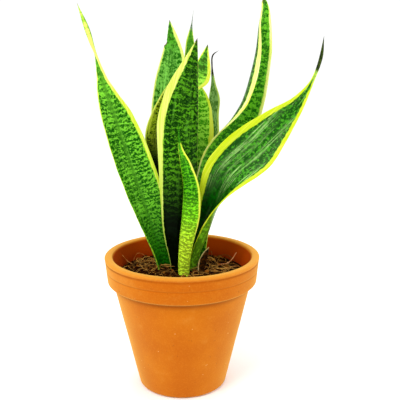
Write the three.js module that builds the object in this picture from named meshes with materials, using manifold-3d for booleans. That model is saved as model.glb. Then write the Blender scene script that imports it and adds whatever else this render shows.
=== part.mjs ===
// Potted snake plant: a terracotta pot filled with soil, ten leaves growing from one rhizome,
// a dry leaf sheath, a bark chip and a few loose roots on the soil.
//
// Units are millimetres and +Z is up. Everything is modelled around the pot's axis, with the pot
// standing on z = 0 and the front of the plant towards -Y. The finished group is then moved so
// that the origin lies at the middle of the whole plant's footprint, on the surface it stands on.

import * as THREE from 'three';
import { mergeVertices } from 'three/addons/utils/BufferGeometryUtils.js';
import Module from 'manifold-3d';

const wasm = await Module();
wasm.setup();

// ---------------------------------------------------------------- driving dimensions

const FIT_GAP = 0.3;              // clearance between pieces that touch

const POT_HEIGHT = 100.7;
const POT_RIM_RADIUS = 57.5;      // outside, at the lip
const POT_COLLAR_HEIGHT = 20;     // from the ledge under the collar to the top of the lip
const POT_COLLAR_TAPER = 2;       // how much the collar narrows towards its ledge
const POT_LEDGE = 4;              // how far the collar stands out from the body
const POT_FOOT_RADIUS = 32.9;
const POT_FOOT_CHAMFER = 1.2;
const POT_RIM_WALL = 5.9;
const POT_WALL = 5.2;             // body wall, square to the axis
const POT_FLOOR = 7;
const DRAIN_HOLE_RADIUS = 6.5;
const LIP_HEIGHT = 2.3;           // the rounded bead along the top
const LIP_ROUNDING = 1.6;
const GROOVE_DEPTH = 0.5;
const POT_SEGMENTS = 72;

const SOIL_DROP = 14.7;           // from the top of the lip down to the soil at the wall
const SOIL_SEGMENTS = 40;
const SOIL_RINGS = 9;

const LEAF_DEPTH = 9;             // how far below the soil every leaf leaves the rhizome
const LEAF_ACROSS = 6;            // facets across each face of a leaf
const LEAF_RINGS_PER_STATION = 3;
const LEAF_EDGE_SHARE = 0.45;     // thickness of a leaf's edge as a share of its middle

const RHIZOME_RADIUS = 7.5;
const RHIZOME_DEPTH = 13;         // its centreline, below the soil

const TERRACOTTA = new THREE.MeshStandardMaterial({ color: 0xdb7420, roughness: 0.72, metalness: 0 });
const SOIL = new THREE.MeshStandardMaterial({ color: 0x3a2412, roughness: 0.95, metalness: 0 });
const LEAF = new THREE.MeshStandardMaterial({ color: 0x3f7a1c, roughness: 0.38, metalness: 0 });
const LIME_LEAF = new THREE.MeshStandardMaterial({ color: 0x8cbf2a, roughness: 0.4, metalness: 0 });
const RHIZOME = new THREE.MeshStandardMaterial({ color: 0xc9a56a, roughness: 0.7, metalness: 0 });
const DRY = new THREE.MeshStandardMaterial({ color: 0x6b4a24, roughness: 0.8, metalness: 0 });
const ROOT = new THREE.MeshStandardMaterial({ color: 0xb08a5a, roughness: 0.85, metalness: 0 });

// ---------------------------------------------------------------- solids and booleans

const plant = new THREE.Group();

function addPiece(name, geometry, material) {
  const mesh = new THREE.Mesh(geometry, material);
  mesh.name = name;
  plant.add(mesh);
  return mesh;
}

function toSolid(geometry) {
  const bare = geometry.clone();
  bare.deleteAttribute('normal');
  bare.deleteAttribute('uv');
  const merged = mergeVertices(bare, 1e-4);
  const vertProperties = new Float32Array(merged.attributes.position.array);
  const triVerts = new Uint32Array(merged.index.array);
  return new wasm.Manifold(new wasm.Mesh({ numProp: 3, vertProperties, triVerts }));
}

function toGeometry(solid) {
  const mesh = solid.getMesh();
  const geometry = new THREE.BufferGeometry();
  geometry.setAttribute('position', new THREE.BufferAttribute(new Float32Array(mesh.vertProperties), 3));
  geometry.setIndex(new THREE.BufferAttribute(new Uint32Array(mesh.triVerts), 1));
  geometry.computeVertexNormals();
  return geometry;
}

function indexedGeometry(points, triangles) {
  const geometry = new THREE.BufferGeometry();
  geometry.setFromPoints(points);
  geometry.setIndex(triangles);
  geometry.computeVertexNormals();
  return geometry;
}

// ---------------------------------------------------------------- pot

// Radius of the body's outside at height z: a straight cone from the foot to the collar's ledge.
const ledgeHeight = POT_HEIGHT - POT_COLLAR_HEIGHT;
const ledgeRadius = POT_RIM_RADIUS - POT_COLLAR_TAPER;
const bodyTopRadius = ledgeRadius - POT_LEDGE;

function potOutside(z) {
  return THREE.MathUtils.mapLinear(z, 0, ledgeHeight, POT_FOOT_RADIUS, bodyTopRadius);
}

// Height of the soil's surface where it meets the wall.
const soilLevel = POT_HEIGHT - SOIL_DROP;

// Radius of the inside at height z: one cone from the floor to the mouth.
const mouthRadius = POT_RIM_RADIUS - POT_RIM_WALL;
const floorRadius = potOutside(POT_FLOOR) - POT_WALL;

function potInside(z) {
  return THREE.MathUtils.mapLinear(z, POT_FLOOR, POT_HEIGHT, floorRadius, mouthRadius);
}

function makePot() {
  const beadBottom = POT_HEIGHT - LIP_HEIGHT;
  const collarTop = beadBottom - GROOVE_DEPTH * 2;
  const slope = (POT_RIM_RADIUS - ledgeRadius) / POT_COLLAR_HEIGHT;
  const collarRadius = (z) => ledgeRadius + (z - ledgeHeight) * slope;
  const midGroove = POT_HEIGHT - POT_COLLAR_HEIGHT / 2;
  const innerLip = POT_HEIGHT - LIP_ROUNDING;
  const profile = [
    [DRAIN_HOLE_RADIUS, 0],
    [POT_FOOT_RADIUS - POT_FOOT_CHAMFER, 0],
    [potOutside(POT_FOOT_CHAMFER), POT_FOOT_CHAMFER],
    [potOutside(ledgeHeight * 0.5), ledgeHeight * 0.5],
    [potOutside(ledgeHeight - 2), ledgeHeight - 2],
    [bodyTopRadius + 0.6, ledgeHeight - 0.4],
    [ledgeRadius - 1, ledgeHeight],
    [collarRadius(ledgeHeight + 1), ledgeHeight + 1],
    [collarRadius(midGroove - 0.8), midGroove - 0.8],
    [collarRadius(midGroove) - GROOVE_DEPTH / 2, midGroove],
    [collarRadius(midGroove + 0.8), midGroove + 0.8],
    [collarRadius(collarTop), collarTop],
    [collarRadius(beadBottom) - GROOVE_DEPTH, beadBottom - GROOVE_DEPTH],
    [POT_RIM_RADIUS, beadBottom + 0.6],
    [POT_RIM_RADIUS, POT_HEIGHT - LIP_ROUNDING * 0.6],
    [POT_RIM_RADIUS - LIP_ROUNDING * 0.4, POT_HEIGHT - LIP_ROUNDING * 0.15],
    [POT_RIM_RADIUS - LIP_ROUNDING, POT_HEIGHT],
    [mouthRadius + LIP_ROUNDING, POT_HEIGHT],
    [mouthRadius + LIP_ROUNDING * 0.3, POT_HEIGHT - LIP_ROUNDING * 0.3],
    [potInside(innerLip), innerLip],
    [potInside(POT_FLOOR + 2), POT_FLOOR + 2],
    [floorRadius - 2, POT_FLOOR],
    [DRAIN_HOLE_RADIUS, POT_FLOOR],
    [DRAIN_HOLE_RADIUS, 0],
  ];
  const outline = profile.map(([r, z]) => new THREE.Vector2(r, z));
  return new THREE.LatheGeometry(outline, POT_SEGMENTS).rotateX(Math.PI / 2);
}

// ---------------------------------------------------------------- leaves

// A leaf is a list of stations from its foot to its last full section, and a tip point.
//   at     the middle of the blade, on its midrib: right, back, and height above the soil
//   width  across the blade, measured along its curve
//   face   the compass direction that the hollow side faces (0 is +X, -90 is the front)
//   curl   how far each edge is turned up out of flat, in degrees
// "thick" is the thickness along the midrib at the foot and at the last station.

const leaves = [
  {
    name: 'leaf_front_left',
    thick: [3.6, 1.6],
    stations: [
      { at: [-14.5, 5, -LEAF_DEPTH], width: 14, face: -55, curl: 68 },
      { at: [-16, 4, 8], width: 18, face: -55, curl: 64 },
      { at: [-25.5, 4, 42], width: 30, face: -55, curl: 54 },
      { at: [-33.5, 5, 67], width: 35, face: -55, curl: 48 },
      { at: [-42.5, 7, 95], width: 33, face: -55, curl: 42 },
      { at: [-49, 9, 116], width: 26, face: -60, curl: 38 },
      { at: [-55, 10, 135], width: 13, face: -80, curl: 30 },
      { at: [-59.5, 11, 154], width: 5.4, face: -140, curl: 30 },
      { at: [-66, 13, 174], width: 3.6, face: -245, curl: 22 },
    ],
    tip: [-74, 14, 196],
  },
  {
    name: 'leaf_centre',
    thick: [3.6, 1.6],
    stations: [
      { at: [-2, -2, -LEAF_DEPTH], width: 13, face: 102, curl: 60 },
      { at: [-2.5, -2, 8], width: 15, face: 102, curl: 54 },
      { at: [-4, -2, 32], width: 22, face: 102, curl: 46 },
      { at: [-2.5, -2, 55], width: 28, face: 102, curl: 40 },
      { at: [-1.5, -2, 82], width: 32, face: 102, curl: 36 },
      { at: [-1.5, -1, 110], width: 33, face: 102, curl: 34 },
      { at: [2, 1, 134], width: 26, face: 104, curl: 32 },
      { at: [7, 3, 153], width: 13, face: 108, curl: 28 },
    ],
    tip: [11.5, 5, 171],
  },
  {
    name: 'leaf_front_pup',
    thick: [3.4, 1.4],
    stations: [
      { at: [0.5, -10.5, -LEAF_DEPTH], width: 9, face: 65, curl: 58 },
      { at: [0.5, -10.5, 8], width: 11, face: 65, curl: 54 },
      { at: [2, -11, 26], width: 13, face: 65, curl: 46 },
      { at: [5.5, -12, 48], width: 16, face: 65, curl: 40 },
      { at: [6, -12, 67], width: 14, face: 65, curl: 36 },
      { at: [2.5, -11, 84], width: 9, face: 65, curl: 30 },
      { at: [-0.5, -10, 95], width: 3.5, face: 65, curl: 20 },
    ],
    tip: [-2, -9.5, 114],
  },
  {
    name: 'leaf_right',
    thick: [3.6, 1.6],
    stations: [
      { at: [8.5, 2.5, -LEAF_DEPTH], width: 12, face: -178, curl: 74 },
      { at: [10.3, 2, 9], width: 15, face: -178, curl: 74 },
      { at: [19.3, 1, 34], width: 22, face: -168, curl: 72 },
      { at: [25.5, -1, 60], width: 28, face: -128, curl: 56 },
      { at: [33, -5, 78], width: 35, face: -104, curl: 40 },
      { at: [50, -9, 95], width: 38, face: -95, curl: 33 },
      { at: [66.5, -9, 112], width: 26, face: -90, curl: 32 },
      { at: [81, -6, 126], width: 12, face: -90, curl: 34 },
      { at: [91.5, -3, 141], width: 3, face: -90, curl: 25 },
      { at: [97.5, -1, 157], width: 2.6, face: -90, curl: 15 },
    ],
    tip: [99.5, 0, 173],
  },
  {
    name: 'leaf_right_curved',
    thick: [3.6, 1.6],
    stations: [
      { at: [12.5, 16, -LEAF_DEPTH], width: 12, face: -90, curl: 62 },
      { at: [13, 17, 18], width: 14, face: -90, curl: 60 },
      { at: [15, 18, 40], width: 19, face: -90, curl: 52 },
      { at: [20, 18, 64], width: 25, face: -86, curl: 44 },
      { at: [26, 18, 83], width: 30, face: -78, curl: 42 },
      { at: [34, 17, 98], width: 34, face: -68, curl: 50 },
      { at: [40.5, 16, 111], width: 33, face: -55, curl: 62 },
      { at: [47, 14, 127], width: 29, face: -43, curl: 72 },
      { at: [51.5, 12, 146], width: 26, face: -35, curl: 74 },
      { at: [54.8, 10, 163], width: 22, face: -36, curl: 70 },
      { at: [56.5, 8, 179], width: 16, face: -44, curl: 54 },
      { at: [57.9, 6, 190], width: 9, face: -50, curl: 35 },
      { at: [57.7, 5.3, 195.6], width: 5, face: -50, curl: 20 },
    ],
    tip: [57.6, 5, 198],
  },
  {
    name: 'leaf_rear_centre',
    thick: [3.6, 1.5],
    stations: [
      { at: [-1, 16, -LEAF_DEPTH], width: 12, face: -75, curl: 60 },
      { at: [0, 19.5, 24], width: 15, face: -75, curl: 50 },
      { at: [5, 23.5, 54], width: 22, face: -75, curl: 42 },
      { at: [8, 25, 79], width: 28, face: -75, curl: 38 },
      { at: [10, 26, 101], width: 28, face: -75, curl: 36 },
      { at: [10.5, 26, 121], width: 23, face: -68, curl: 38 },
      { at: [10, 26, 135], width: 18, face: -15, curl: 45 },
      { at: [14.5, 25, 147], width: 14, face: 70, curl: 25 },
      { at: [17, 24.5, 158], width: 7, face: 90, curl: 15 },
    ],
    tip: [19, 24, 167],
  },
  {
    name: 'leaf_rear_left',
    thick: [3.6, 1.5],
    stations: [
      { at: [-8, 25, -LEAF_DEPTH], width: 13, face: -90, curl: 60 },
      { at: [-9, 28, 24], width: 20, face: -90, curl: 50 },
      { at: [-10, 31, 59], width: 27, face: -90, curl: 38 },
      { at: [-10, 33, 89], width: 30, face: -90, curl: 32 },
      { at: [-9, 34, 118], width: 31, face: -90, curl: 30 },
      { at: [-8, 35, 141], width: 26, face: -90, curl: 28 },
      { at: [-7, 36, 160], width: 17, face: -90, curl: 25 },
      { at: [-8, 37, 174], width: 8, face: -90, curl: 18 },
    ],
    tip: [-9.5, 38, 185],
  },
  {
    name: 'leaf_rear_spear',
    thick: [3.4, 1.4],
    stations: [
      { at: [2, 29, -LEAF_DEPTH], width: 8, face: -90, curl: 58 },
      { at: [2.5, 34, 24], width: 10, face: -90, curl: 48 },
      { at: [4.5, 38, 64], width: 14, face: -90, curl: 38 },
      { at: [5.5, 40, 104], width: 16, face: -90, curl: 34 },
      { at: [5.5, 42, 134], width: 14, face: -90, curl: 28 },
      { at: [6, 43, 156], width: 10, face: -90, curl: 24 },
      { at: [5.8, 43.5, 170], width: 6, face: -90, curl: 18 },
      { at: [6.8, 44, 180], width: 1.6, face: -90, curl: 10 },
    ],
    tip: [8.5, 44, 193],
  },
  {
    name: 'leaf_rear_right',
    thick: [3.4, 1.4],
    stations: [
      { at: [12.5, 26, -LEAF_DEPTH], width: 8, face: -90, curl: 58 },
      { at: [14, 30, 19], width: 9, face: -85, curl: 46 },
      { at: [18.5, 35, 54], width: 13, face: -80, curl: 38 },
      { at: [22, 37, 88], width: 13, face: -70, curl: 34 },
      { at: [23, 39, 114], width: 10, face: -65, curl: 28 },
      { at: [24, 40, 126], width: 9.5, face: -70, curl: 22 },
      { at: [23.5, 40, 138], width: 3.6, face: -85, curl: 15 },
      { at: [22.5, 40, 150], width: 1.2, face: -90, curl: 8 },
      { at: [23, 40, 159], width: 1.1, face: -90, curl: 8 },
    ],
    tip: [28, 40, 163],
  },
  {
    name: 'leaf_between',
    thick: [3.4, 1.4],
    stations: [
      { at: [-12, 14, -LEAF_DEPTH], width: 9, face: -90, curl: 58 },
      { at: [-13, 15, 27], width: 13, face: -90, curl: 46 },
      { at: [-16, 17, 65], width: 19, face: -90, curl: 38 },
      { at: [-19, 18, 92], width: 18, face: -90, curl: 34 },
      { at: [-19.5, 18, 104], width: 16, face: -90, curl: 30 },
      { at: [-16, 18, 117], width: 13, face: -90, curl: 28 },
      { at: [-12, 18, 129], width: 8, face: -90, curl: 24 },
    ],
    tip: [-6, 18, 144],
  },
];

// The blade bends most near its midrib, so a section is a soft V rather than an arc.
function bladeAngle(u, curl) {
  return THREE.MathUtils.degToRad(curl) * (1.5 * u - 0.5 * u ** 3);
}

// Points from edge to edge of the blade's middle surface, with the angle of the blade at each.
function bladeSection(width, curl) {
  const step = 2 / LEAF_ACROSS;
  const section = [];
  let along = 0;
  let up = 0;
  for (let k = 0; k <= LEAF_ACROSS; k += 1) {
    const u = -1 + k * step;
    section.push({ u, along, up, angle: bladeAngle(u, curl) });
    const middle = bladeAngle(u + step / 2, curl);
    along += Math.cos(middle) * step * width / 2;
    up += Math.sin(middle) * step * width / 2;
  }
  const centre = section[LEAF_ACROSS / 2];
  return section.map((p) => ({ ...p, along: p.along - centre.along, up: p.up - centre.up }));
}

// A closed ring of points round the blade: along the hollow side, then back along the other side.
function leafRing(centre, tangent, width, face, curl, thickness, grow) {
  const turn = THREE.MathUtils.degToRad(face);
  const normal = new THREE.Vector3(Math.cos(turn), Math.sin(turn), 0);
  normal.addScaledVector(tangent, -normal.dot(tangent)).normalize();
  const across = new THREE.Vector3().crossVectors(tangent, normal);
  const section = bladeSection(width + 2 * grow, curl);
  const hollowSide = [];
  const backSide = [];
  for (const { u, along, up, angle } of section) {
    const middle = centre.clone().addScaledVector(across, along).addScaledVector(normal, up);
    const outwards = normal.clone().multiplyScalar(Math.cos(angle)).addScaledVector(across, -Math.sin(angle));
    const share = 1 - (1 - LEAF_EDGE_SHARE) * u * u;
    const half = thickness * share / 2 + grow;
    hollowSide.push(middle.clone().addScaledVector(outwards, half));
    backSide.unshift(middle.clone().addScaledVector(outwards, -half));
  }
  return [...hollowSide, ...backSide];
}

// The leaf as one closed body. "grow" swells it evenly, for the socket it leaves in the soil.
function makeLeaf({ stations, tip, thick }, grow = 0) {
  const places = [...stations.map(({ at }) => at), tip];
  const spine = places.map(([x, y, z]) => new THREE.Vector3(x, y, soilLevel + z));
  spine[0].z -= grow;
  const path = new THREE.CatmullRomCurve3(spine);
  const shapes = stations.map(({ width, face, curl }) => new THREE.Vector3(width, face, curl));
  const shape = new THREE.CatmullRomCurve3(shapes);
  const spans = stations.length - 1;
  const rings = spans * LEAF_RINGS_PER_STATION;
  const points = [];
  for (let i = 0; i <= rings; i += 1) {
    const t = i / rings;
    const onPath = t * spans / (spans + 1);
    const { x: width, y: face, z: curl } = shape.getPoint(t);
    const tangent = i === 0 ? new THREE.Vector3(0, 0, 1) : path.getTangent(onPath);
    const thickness = THREE.MathUtils.lerp(thick[0], thick[1], Math.sqrt(t));
    const limited = Math.min(thickness, width * 0.4);
    points.push(...leafRing(path.getPoint(onPath), tangent, width, face, curl, limited, grow));
  }
  points.push(spine.at(-1));

  const size = 2 * (LEAF_ACROSS + 1);
  const triangles = [];
  for (let k = 0; k < LEAF_ACROSS; k += 1) {
    const back = size - 1 - k;
    triangles.push(k, back, k + 1, back, back - 1, k + 1);
  }
  for (let i = 0; i < rings; i += 1) {
    for (let k = 0; k < size; k += 1) {
      const a = i * size + k;
      const b = i * size + (k + 1) % size;
      triangles.push(a, b, b + size, a, b + size, a + size);
    }
  }
  const last = rings * size;
  for (let k = 0; k < size; k += 1) {
    triangles.push(last + k, last + (k + 1) % size, last + size);
  }
  return indexedGeometry(points, triangles);
}

// ---------------------------------------------------------------- soil

// Height of the soil above its level at the wall: a low mound at the left and round the leaves.
function soilMound(x, y) {
  const left = 3.5 * Math.exp(-((x + 27) ** 2 + (y - 2) ** 2) / 200);
  const middle = 1.5 * Math.exp(-(x ** 2 + (y - 8) ** 2) / 700);
  const ripple = 0.5 * Math.sin(x * 0.34 + 1) * Math.cos(y * 0.29);
  return left + middle + ripple;
}

const soilRadius = potInside(soilLevel) - FIT_GAP;

function soilHeight(x, y) {
  const inwards = THREE.MathUtils.smoothstep(soilRadius - Math.hypot(x, y), 0, 8);
  return soilLevel + inwards * soilMound(x, y);
}

function makeSoil() {
  const floor = POT_FLOOR + FIT_GAP;
  const outline = [new THREE.Vector2(0, floor), new THREE.Vector2(potInside(POT_FLOOR + 3) - 3, floor)];
  outline.push(new THREE.Vector2(potInside(POT_FLOOR + 3) - FIT_GAP, POT_FLOOR + 3));
  for (let ring = SOIL_RINGS; ring >= 0; ring -= 1) {
    outline.push(new THREE.Vector2(soilRadius * ring / SOIL_RINGS, soilLevel));
  }
  const geometry = new THREE.LatheGeometry(outline, SOIL_SEGMENTS).rotateX(Math.PI / 2);
  const position = geometry.attributes.position;
  for (let i = 0; i < position.count; i += 1) {
    if (Math.abs(position.getZ(i) - soilLevel) < 1e-3) {
      position.setZ(i, soilHeight(position.getX(i), position.getY(i)));
    }
  }
  return geometry;
}

// ---------------------------------------------------------------- rhizome

// The thick underground stem that every leaf grows from, running under their feet.
function makeRhizome(grow = 0) {
  const feet = [[-19 - grow, 6], [-12, 7], [-4, 9], [4, 12], [11, 14], [17 + grow, 19 + grow]];
  const places = feet.map(([x, y]) => new THREE.Vector3(x, y, soilLevel - RHIZOME_DEPTH));
  const extrudePath = new THREE.CatmullRomCurve3(places);
  const section = new THREE.Shape();
  section.absarc(0, 0, RHIZOME_RADIUS + grow, 0, Math.PI * 2);
  return new THREE.ExtrudeGeometry(section, { steps: 10, curveSegments: 6, extrudePath });
}

// ---------------------------------------------------------------- loose pieces on the soil

// A dry sheath: a papery strip that stands in front of the foot of the right-hand leaves.
const drySheath = {
  thick: [0.9, 0.7],
  stations: [
    { at: [14.5, -4, 2.5], width: 6, face: 118, curl: 30 },
    { at: [15.8, -3.5, 8], width: 8, face: 118, curl: 34 },
    { at: [17.8, -3, 14.5], width: 6, face: 122, curl: 38 },
  ],
  tip: [20, -2, 20.5],
};

const roots = [
  {
    name: 'root_left_straight',
    radius: 0.45,
    points: [[163, 1.5, 8.5], [163, 3.5, 5.5], [164, 5.5, 3], [165, 8.5, 1.2]],
  },
  {
    name: 'root_left_loop',
    radius: 0.4,
    points: [[155, 6, 1.2], [155, 8, 5], [155, 12, 8.5], [152, 15, 7], [149, 15.5, 3.5], [149, 13, 1.2]],
  },
  {
    name: 'root_right_arched',
    radius: 0.55,
    points: [[21, 6, 10], [20, 8.5, 6], [19, 12, 2.5], [20, 17, 1.2], [20, 20, 1.2]],
  },
  {
    name: 'root_right_low',
    radius: 0.5,
    points: [[12, 4, 1.2], [9, 8.5, 2], [9, 14, 1.2], [6, 18, 1.4]],
  },
];

// A root's points: compass direction from the pot's axis, distance in from the wall, height above the soil.
function makeRoot({ radius, points }) {
  const line = points.map(([bearing, inset, above]) => {
    const reach = potInside(soilLevel + above) - inset;
    const x = reach * Math.cos(THREE.MathUtils.degToRad(bearing));
    const y = reach * Math.sin(THREE.MathUtils.degToRad(bearing));
    return new THREE.Vector3(x, y, soilHeight(x, y) + above + radius);
  });
  const section = new THREE.Shape();
  section.absarc(0, 0, radius, 0, Math.PI * 2);
  const extrudePath = new THREE.CatmullRomCurve3(line);
  return new THREE.ExtrudeGeometry(section, { steps: 9, curveSegments: 3, extrudePath });
}

function makeBarkChip() {
  const outline = new THREE.Shape();
  outline.moveTo(-3, -1);
  outline.lineTo(-1, -2);
  outline.lineTo(2.5, -1.2);
  outline.lineTo(3, 0.8);
  outline.lineTo(0.5, 2);
  outline.lineTo(-2.5, 1.2);
  outline.closePath();
  const chip = new THREE.ExtrudeGeometry(outline, { depth: 1.4, bevelEnabled: false });
  const [x, y] = [9.5, -7];
  return chip.rotateX(0.25).rotateZ(0.5).translate(x, y, soilHeight(x, y) + 1.4);
}

// ---------------------------------------------------------------- assembly

addPiece('pot', makePot(), TERRACOTTA);

let soil = toSolid(makeSoil()).subtract(toSolid(makeRhizome(FIT_GAP)));
let rhizome = toSolid(makeRhizome());
for (const leaf of leaves) {
  addPiece(leaf.name, makeLeaf(leaf), leaf.name === 'leaf_front_pup' ? LIME_LEAF : LEAF);
  const socket = toSolid(makeLeaf(leaf, FIT_GAP));
  soil = soil.subtract(socket);
  rhizome = rhizome.subtract(socket);
}
addPiece('soil', toGeometry(soil), SOIL);
addPiece('rhizome', toGeometry(rhizome), RHIZOME);
addPiece('dry_sheath', makeLeaf(drySheath), DRY);
addPiece('bark_chip', makeBarkChip(), DRY);
for (const root of roots) {
  addPiece(root.name, makeRoot(root), ROOT);
}

// Stand the plant on its origin: the middle of its footprint, on the table.
const footprint = new THREE.Box3().setFromObject(plant);
const middle = footprint.getCenter(new THREE.Vector3());
plant.position.set(-middle.x, -middle.y, -footprint.min.z);

export default plant;
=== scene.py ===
import math
import random

import bmesh
import bpy
import numpy as np
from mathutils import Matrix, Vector, noise
from mathutils.bvhtree import BVHTree


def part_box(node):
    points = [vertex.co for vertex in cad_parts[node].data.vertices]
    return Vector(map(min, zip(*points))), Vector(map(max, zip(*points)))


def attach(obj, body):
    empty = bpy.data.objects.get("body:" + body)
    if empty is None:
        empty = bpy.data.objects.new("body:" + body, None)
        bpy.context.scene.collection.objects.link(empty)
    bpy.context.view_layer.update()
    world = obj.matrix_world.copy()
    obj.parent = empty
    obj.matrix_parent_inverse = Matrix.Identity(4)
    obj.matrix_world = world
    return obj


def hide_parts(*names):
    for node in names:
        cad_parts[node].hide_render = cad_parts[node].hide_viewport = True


# A potted snake plant: a terracotta pot of soil with ten banded leaves. Lengths are in metres,
# in the CAD model's frame. Every fine piece is worked out from the CAD node that it stands for.

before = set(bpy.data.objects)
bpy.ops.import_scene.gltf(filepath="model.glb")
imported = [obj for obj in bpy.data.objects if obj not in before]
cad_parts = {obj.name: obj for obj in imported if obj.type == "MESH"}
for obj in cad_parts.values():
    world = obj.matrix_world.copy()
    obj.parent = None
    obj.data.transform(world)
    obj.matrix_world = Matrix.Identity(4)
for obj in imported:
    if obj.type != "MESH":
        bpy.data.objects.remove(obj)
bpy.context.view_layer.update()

MM = 0.001
WELD = 2e-7                     # joins the split corners of an imported CAD mesh
ON_PLANE = 1e-5                 # how near a plane a CAD corner counts as lying on it
LEAF_SECTION = 14               # points in each ring of a CAD leaf

STUDIO_GAIN = 1.25              # how much brighter than its base colour a lit face shows
STUDIO_HAZE = 0.006             # what its gloss adds
SKY_STRENGTH = 1.08
LAMP_AIM = 0.13                 # the height on the pot's axis that the lamps face
WHITE = (1, 1, 1)
WARM = (1, 0.88, 0.55)
LAMPS = (                       # name, place, side of its square, watts and tint
    ("key", (-0.50, -0.65, 0.85), 0.5, 6, WHITE),
    ("fill", (0.8, -0.6, 0.5), 0.9, 2.0, WHITE),
    ("back", (0.25, 0.9, 0.8), 0.8, 2.5, WHITE),
    ("left_edge", (-1.0, 0.15, 0.3), 0.5, 1.3, WARM),
    ("right_edge", (1.0, 0.15, 0.3), 0.5, 1.8, WARM),
)
FLOOR_RADIUS = 6
FLOOR_GAP = 0.0002              # keeps the floor clear of the pot's foot

SENSOR_WIDTH = 36               # mm
LENS = 58.5                     # mm
CAMERA_FROM_POT = (13.3 * MM, -465 * MM, 246 * MM)
CAMERA_DIP = 12.66              # degrees below the horizon

pot_low, pot_high = (Vector(corner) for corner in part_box("pot"))
POT_X = (pot_low.x + pot_high.x) / 2
POT_Y = (pot_low.y + pot_high.y) / 2
POT_HEIGHT = pot_high.z
POT_RIM = (pot_high.x - pot_low.x) / 2
soil_low, soil_high = (Vector(corner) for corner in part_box("soil"))
SOIL_RADIUS = (soil_high.x - soil_low.x) / 2

rng = random.Random(7)


# ------------------------------------------------------------------ camera, light, floor

def make_camera():
    data = bpy.data.cameras.new("camera")
    data.sensor_width = SENSOR_WIDTH
    data.lens = LENS
    camera = bpy.data.objects.new("camera", data)
    x, y, z = CAMERA_FROM_POT
    camera.location = (POT_X + x, POT_Y + y, z)
    camera.rotation_euler = (math.radians(90 - CAMERA_DIP), 0, 0)
    bpy.context.scene.collection.objects.link(camera)
    bpy.context.scene.camera = camera


def add_softbox(name, place, size, power, tint):
    data = bpy.data.lights.new(name, "AREA")
    data.shape = "SQUARE"
    data.size = size
    data.energy = power
    data.color = tint
    lamp = bpy.data.objects.new(name, data)
    lamp.location = place
    aim = Vector((POT_X, POT_Y, LAMP_AIM)) - Vector(place)
    lamp.rotation_euler = aim.to_track_quat("-Z", "Y").to_euler()
    bpy.context.scene.collection.objects.link(lamp)


def make_studio():
    world = bpy.data.worlds.new("studio")
    world.use_nodes = True
    background = world.node_tree.nodes["Background"]
    background.inputs["Color"].default_value = (*WHITE, 1)
    background.inputs["Strength"].default_value = SKY_STRENGTH
    bpy.context.scene.world = world
    bpy.context.scene.view_settings.view_transform = "Standard"
    for lamp in LAMPS:
        add_softbox(*lamp)

    bpy.ops.mesh.primitive_circle_add(vertices=96, radius=FLOOR_RADIUS, fill_type="NGON",
                                      location=(0, 0, 0))
    floor = bpy.context.object
    floor.name = "floor"
    floor.location.z = -FLOOR_GAP
    paper = Shader("floor_paper")
    paper.set(Roughness=0.9)
    tone = paper.noise(paper.object_place(), 40)
    paper.colour(paper.mix(tone, (0.95, 0.95, 0.945), (0.97, 0.97, 0.965)))
    floor.data.materials.append(paper.material)


# ------------------------------------------------------------------ shader helper

def shown(red, green, blue):
    """The base colour that shows as these 8-bit values in the studio's light."""
    def base(value):
        value /= 255
        linear = value / 12.92 if value <= 0.04045 else ((value + 0.055) / 1.055) ** 2.4
        return max(0.0005, (linear - STUDIO_HAZE) / STUDIO_GAIN)
    return (base(red), base(green), base(blue))


def scaled(tone, by):
    return tuple(c * by for c in tone)


def blended(first, second, share):
    return tuple((1 - share) * a + share * b for a, b in zip(first, second))


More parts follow.
